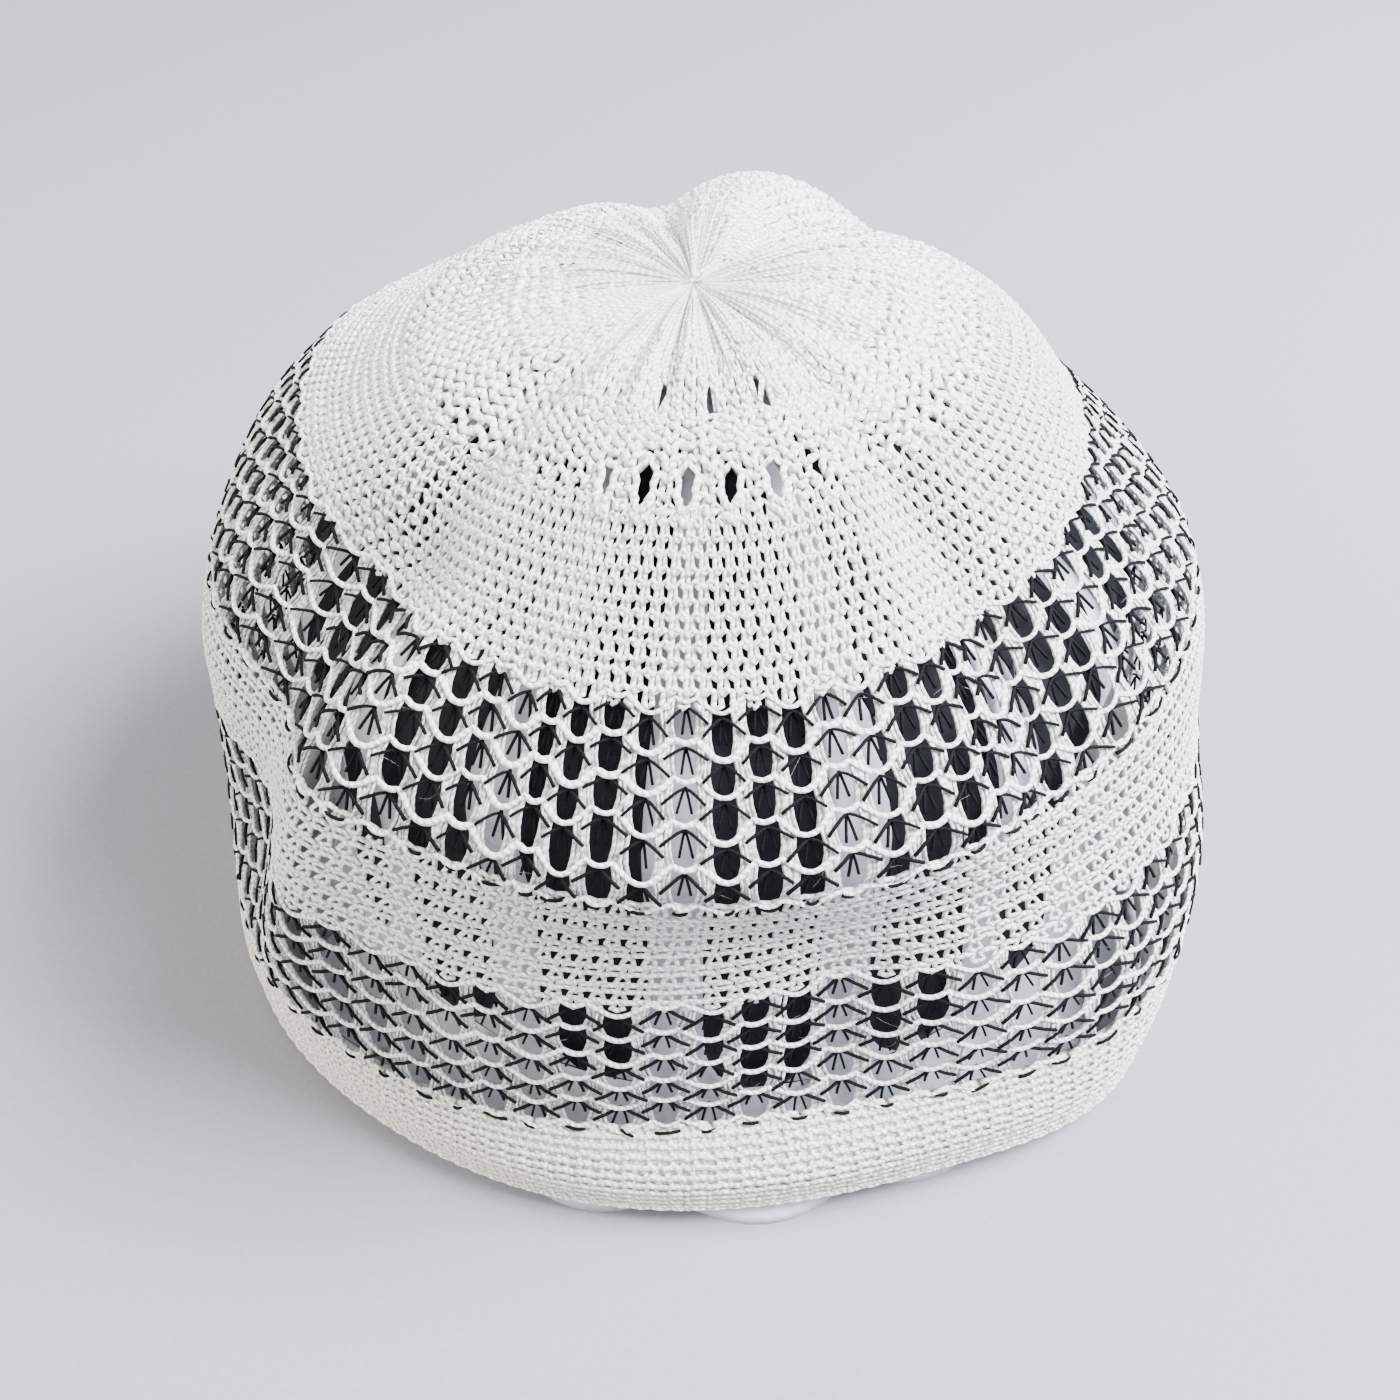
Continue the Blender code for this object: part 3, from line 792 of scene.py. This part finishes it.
def cross_strands(nodes, rng):
    """The net's thick cross strands: a shallow bow under each cell, and a slanting run to the next.

    A bow's station is the node's, less the bow's depth times one minus the square of the share of its
    reach. The first row's bows are deeper, and the yarn of the first and the last row is thinner.
    """
    reach = np.array([-1.0, -0.72, -0.36, 0.0, 0.36, 0.72, 1.0])
    offsets = reach * NODE
    bow = -BOW * (1.0 - reach**2)
    row = np.arange(len(nodes))
    column = (np.arange(NET_COLUMNS)[:, None] + offsets[None, :]).ravel()
    column = column[None, :] + per_stitch(uneven(rng, nodes.shape, 0.03), len(offsets))
    deeper = np.where(row == 0, 1.5, 1.0)[:, None, None]
    station = (nodes[..., None] + deeper * bow + 0.5 * BOW).reshape(len(nodes), -1)
    lift = -0.3 + 0.25 * np.tile(np.cos(reach * math.pi / 2), NET_COLUMNS)[None, :]
    thinner = np.where(row % (len(nodes) - 1), 0.0, 0.1)[:, None]
    swell = 0.06 * np.tile(np.abs(reach), NET_COLUMNS)[None, :]
    thick = CROSS_YARN[0] - thinner + swell + 0.05 * per_stitch(uneven(rng, nodes.shape, 1.0), len(offsets))
    return strands(*on_net(column, station, lift), thick, *CROSS_YARN[1:], closed=True)


def net_legs(nodes, rng):
    """The upright yarn between the cells: fans of four plies and a slanting pair in each wall of each row.

    A ply runs from the bow below to the bow above beside its own cell, nearer the cell's middle at its foot
    than at its head, and bent outwards by half a sine. The slanting pair runs from the higher column's
    lower node to the lower column's upper one. The plies lie apart, so that the walls look streaked.
    """
    foot_rise, head_rise = 0.15, 0.2
    below, above = nodes[:-1] + foot_rise, nodes[1:] + head_rise
    count = below.size
    column = np.tile(np.arange(NET_COLUMNS, dtype=float), NET_ROWS)[:, None]
    share = np.linspace(0.0, 1.0, 4)[None, :]
    low, high = below.reshape(count, 1), above.reshape(count, 1)
    bend = np.sin(math.pi * share)
    parts = []
    for side in (-1.0, 1.0):
        for foot, head, ply_lift in LEGS:
            aside = foot + (head - foot) * share + 0.08 * bend + rng.normal(0.0, 0.012, (count, 1))
            lift = ply_lift + rng.normal(0.0, 0.1, (count, 1)) + 0.12 * bend
            station = low + (high - low) * share
            parts.append(strands(*on_net(column + side * aside, station, lift), *LEG_YARN))
    next_low = np.roll(below, -1, axis=1).reshape(count, 1)
    next_high = np.roll(above, -1, axis=1).reshape(count, 1)
    # Where the slanting pair starts and ends, in columns from the left one's middle
    right_hangs_low = next_high < high
    start = np.where(right_hangs_low, 0.43, 0.57)
    end = np.where(right_hangs_low, 0.59, 0.41)
    start_station = np.where(right_hangs_low, low, next_low)
    end_station = np.where(right_hangs_low, next_high, high)
    for apart in (-0.05, 0.05):
        place = column + apart + rng.normal(0.0, 0.01, (count, 1)) + start + (end - start) * share
        lift = -0.85 + rng.normal(0.0, 0.1, (count, 1)) + 0.15 * bend
        station = start_station + (end_station - start_station) * share
        parts.append(strands(*on_net(place, station, lift), *SLANTING_YARN))
    return parts


def loose_fibres(low, high, rng):
    """Fine fibres that stand off the net's yarn: short bowed hairs at random places and slants."""
    count, column_width = 150, 5.6
    share = np.linspace(-0.5, 0.5, 5)[None, :]
    slant = rng.uniform(0.0, math.pi, (count, 1))
    length = rng.uniform(2.0, 7.0, (count, 1))
    bow = rng.normal(0.0, 1.6, (count, 1)) * (share**2 - 0.1)
    station = rng.uniform(low, high, (count, 1)) + length * share * np.sin(slant) + bow * np.cos(slant)
    around = (length * share * np.cos(slant) - bow * np.sin(slant)) / column_width
    place = rng.uniform(0.0, NET_COLUMNS, (count, 1)) + around
    lift = rng.uniform(-0.7, 0.1, (count, 1)) + rng.uniform(0.0, 0.3, (count, 1)) * np.cos(math.pi * share)
    return strands(*on_net(place, station, lift), *FIBRE)


def net_strands(name, low, high, material, replaced, seed):
    """The net's white yarn: its cross strands, the legs between them and the loose fibres."""
    rng = np.random.default_rng(seed)
    nodes = net_nodes(low, high, rng)
    parts = (cross_strands(nodes, rng), *net_legs(nodes, rng), loose_fibres(low, high, rng))
    add_piece(name, join(*parts), [material], replaced)


def net_threads(name, low, high, material, seed):
    """The net's black threads: a wide roof over each cell, two thin legs down it, stitches at the foot.

    A roof's station falls away from its middle by a smooth power of the distance, and its middle lies
    behind the cross strand. Its ends come out over the walls.
    """
    nodes = net_nodes(low, high, np.random.default_rng(seed))
    rng = np.random.default_rng(seed + 50)
    tops = nodes[1:].ravel()[:, None]
    column = np.tile(np.arange(NET_COLUMNS, dtype=float), NET_ROWS)[:, None]
    count = len(tops)
    # How far below the node a roof's peak and the legs' heads lie, and what a leg lacks of a row
    peak_below, head_below, leg_less = 1.05, 1.0, 2.2
    across = np.array([-0.60, -0.46, -0.32, -0.16, 0.0, 0.16, 0.32, 0.46, 0.60])
    drop = -np.abs(across / across[-1]) ** 1.4
    left, right = rng.uniform(0.8, 1.08, (2, count, 1))
    deep = rng.uniform(1.9, 2.9, (count, 1))
    place = column + across[None, :] * np.where(across < 0, left, right)
    station = tops - peak_below + drop[None, :] * deep + rng.normal(0.0, 0.15, (count, 1))
    lift = 0.26 - 0.8 * np.exp(-(across / 0.2) ** 2)[None, :]
    parts = [strands(*on_net(place, station, lift), *ROOF_THREAD)]
    leg_length = (high - low) / NET_ROWS - leg_less
    share = np.linspace(0.0, 1.0, 5)[None, :]
    for side in (-1.0, 1.0):
        foot = rng.uniform(0.1, 0.23, (count, 1)) * side
        station = tops - head_below - leg_length * share
        parts.append(strands(*on_net(column + foot * share**0.8, station, -0.9), *LEG_THREAD))
    share = np.linspace(-0.5, 0.5, 5)[None, :]
    each = (NET_COLUMNS, 1)
    place = np.arange(NET_COLUMNS)[:, None] + rng.uniform(0.28, 0.6, each) * share
    place = place + rng.normal(0.0, 0.08, each)
    station = low - 0.7 + rng.normal(0.0, 0.25, each) + rng.normal(0.0, 0.5, each) * share
    parts.append(strands(*on_net(place, station, 0.25 - 1.6 * share**2), *FOOT_THREAD))
    add_piece(name, join(*parts), [material], None)


def stand_shell(shell, slot_shade_paint):
    """The stand: a hollow shell with scalloped lobes at its foot, and above each a shallow slot whose floor
    is painted near-black as painted shade.

    The radius is the outline's, plus the swell times the size of a cosine that fades out up to the slots'
    foot. A slot's floor lies one slot depth inside the outline. The slot narrows to both ends as a
    super-ellipse.
    """
    # A slot's rounded edge up and down in millimetres, its lip at the sides, and its ends' width
    edge, lip, end_width = 0.35, 0.012, 0.35
    outline = Outline(STAND_RINGS)
    slot_low, slot_high = outline.station("slot_foot"), outline.station("slot_top")
    stations = np.concatenate((np.linspace(0.0, slot_low - edge, 14),
                               np.linspace(slot_low, slot_high, 45),
                               np.linspace(slot_high + edge, outline.length, 6)))
    rows_dark = (stations >= slot_low) & (stations <= slot_high)
    half = SLOT_HALF_WIDTH
    places = np.array([-0.5, -0.44, -0.38, -half - lip, -half, -0.2, -0.1, 0.0, 0.1, 0.2, half, half + lip,
                       0.38, 0.44])
    columns_dark = np.abs(places) <= half + 1e-9
    middle, reach = (slot_low + slot_high) / 2, (slot_high - slot_low) / 2
    end = np.abs((stations - middle) / reach).clip(0.0, 1.0)
    narrow = np.where(rows_dark, (1.0 - end**14) ** 0.5, 1.0).clip(end_width, 1.0)[:, None]
    # Beyond the lip the narrowing fades out to the middle between two slots
    fade = ((0.5 - np.abs(places)) / (0.5 - half - lip))[None, :]
    scale = np.where(np.abs(places) <= half + lip + 1e-9, narrow, 1.0 + (narrow - 1.0) * fade)
    lobes = np.arange(STAND_LOBES)[None, :, None] + (places[None, :] * scale)[:, None, :]
    lobes = lobes.reshape(len(stations), -1)
    radius, height, radius_rate, height_rate = outline.at(stations)
    length = np.hypot(radius_rate, height_rate)
    sunk = SLOT_DEPTH * np.outer(rows_dark, np.tile(columns_dark, STAND_LOBES))
    swell = LOBE_SWELL * np.clip(1.0 - height / outline.at(slot_low)[1], 0.0, 1.0)
    outer_radius = (radius[:, None] + swell[:, None] * np.abs(np.cos(math.pi * lobes)) ** 0.8
                    - sunk * (height_rate / length)[:, None])
    outer_height = height[:, None] + sunk * (radius_rate / length)[:, None]
    inner_radius = (radius - STAND_WALL * height_rate / length)[::-1, None] + 0 * lobes
    inner_height = (height + STAND_WALL * radius_rate / length)[::-1, None] + 0 * lobes
    radius = np.concatenate((outer_radius, inner_radius))
    height = np.concatenate((outer_height, np.maximum(inner_height, 0.0)))
    angle = TURN * np.concatenate((lobes, lobes[::-1])) / STAND_LOBES + math.radians(STAND_TURN)
    points = np.stack((radius * np.sin(angle) + STAND_MIDDLE[0], -radius * np.cos(angle) + STAND_MIDDLE[1],
                       height), axis=-1)
    # The rows go up the outside to the cap, then from the cap's inside down to the foot
    rows, columns = points.shape[:2]
    top_row = len(stations) - 1
    quads = skin_quads(np.delete(np.arange(rows), top_row)[:, None], rows, columns)
    poles = [(*STAND_MIDDLE, STAND_TOP), (*STAND_MIDDLE, STAND_TOP - STAND_WALL)]
    vertices = np.concatenate((points.reshape(-1, 3), poles))
    here = np.arange(columns)
    beside, pole = (here + 1) % columns, np.full(columns, len(vertices) - 2)
    last, first = top_row * columns, (top_row + 1) * columns
    cap = np.stack((last + here, last + beside, pole), axis=1)
    under = np.stack((first + beside, first + here, pole + 1), axis=1)
    # Faces on a slot's floor take the second material, the painted shade
    shade_painted_vertex = np.concatenate((sunk.ravel() > 0.0, np.zeros(len(vertices) - sunk.size, bool)))
    index = np.concatenate((shade_painted_vertex[quads].any(axis=1), np.zeros(2 * columns, bool)))
    uv = [np.zeros((quads.size + cap.size + under.size, 2))]
    add_piece("stand_shell", (vertices, [quads, cap, under], uv), [shell, slot_shade_paint], "display_stand",
              index)


def studio():
    """A plain pale floor, soft light from the upper right, a weak fill and the photograph's camera."""
    half = 3.0
    floor_mesh = bpy.data.meshes.new("floor")
    floor_mesh.from_pydata([(-half, -half, 0), (half, -half, 0), (half, half, 0), (-half, half, 0)], [],
                           [(0, 1, 2, 3)])
    floor = new_object("floor", floor_mesh)
    material, shader = new_material("pale_paper_sweep", {"Roughness": 0.9})
    grain = object_noise(material, 900.0, 3.0)
    feed(material, shader, {"Base Color": tone_by(material, grain, ((0.3, "#818187"), (0.7, "#87878D")))})
    floor_mesh.materials.append(material)
    aim = Vector((0.0, 0.0, 0.06))
    for name, place, size, power, colour in (("window", (0.80, -0.08, 1.0), 0.7, 132.0, "#F6FBFE"),
                                             ("fill", (-1.1, -0.25, 0.6), 1.0, 34.0, "#FFF5E8")):
        light = bpy.data.lights.new(name, "AREA")
        light.size = size
        light.energy = power
        light.color = srgb(colour)[:3]
        lamp = new_object(name, light)
        lamp.location = place
        lamp.rotation_euler = (aim - Vector(place)).to_track_quat("-Z", "Y").to_euler()
    world = bpy.data.worlds.new("soft_room")
    world.use_nodes = True
    background = world.node_tree.nodes["Background"]
    background.inputs["Color"].default_value = srgb("#E9EDF2")
    background.inputs["Strength"].default_value = 1.2
    bpy.context.scene.world = world
    camera_data = bpy.data.cameras.new("photo_camera")
    camera_data.lens = CAMERA_LENS
    camera_data.sensor_width = CAMERA_SENSOR
    camera_data.clip_start = 0.01
    camera_data.clip_end = 10.0
    camera = new_object("photo_camera", camera_data)
    pitch = math.radians(CAMERA_PITCH)
    camera.location = (CAMERA_AIM[0] * MM, (CAMERA_AIM[1] - CAMERA_AWAY * math.cos(pitch)) * MM,
                       (CAMERA_AIM[2] + CAMERA_AWAY * math.sin(pitch)) * MM)
    camera.rotation_euler = (math.pi / 2 - pitch, 0.0, 0.0)
    bpy.context.scene.camera = camera


studio()
white = cotton_yarn("white_cotton_yarn", "#F9FEFA", "#B3B7B2")
crown_white = cotton_yarn("white_cotton_crown_yarn", "#F9FEFA", "#B3B7B2", warm="#FFF8EF")
# The rim's yarn is creamier and a little darker than the rest: the cream is its own tint, the darkening
# painted shade for the hem's shaded front
rim_cream_shade_painted = cotton_yarn("cream_cotton_rim_yarn_shade_painted", "#F4F3E9", "#AFAFA5")
thread = black_thread()
hem_knit(rim_cream_shade_painted)
net_strands("lower_net_yarn", HEM_TOP, LOWER_TOP, white, "lower_net_band", 21)
net_threads("lower_net_thread", HEM_TOP, LOWER_TOP, thread, 21)
middle_knit(white)
net_strands("upper_net_yarn", UPPER_FOOT, UPPER_TOP, white, "upper_net_band", 23)
net_threads("upper_net_thread", UPPER_FOOT, UPPER_TOP, thread, 23)
crown_knit(white)
crown_top(crown_white)
stand_shell(stand_plastic(), painted_slot_shade())
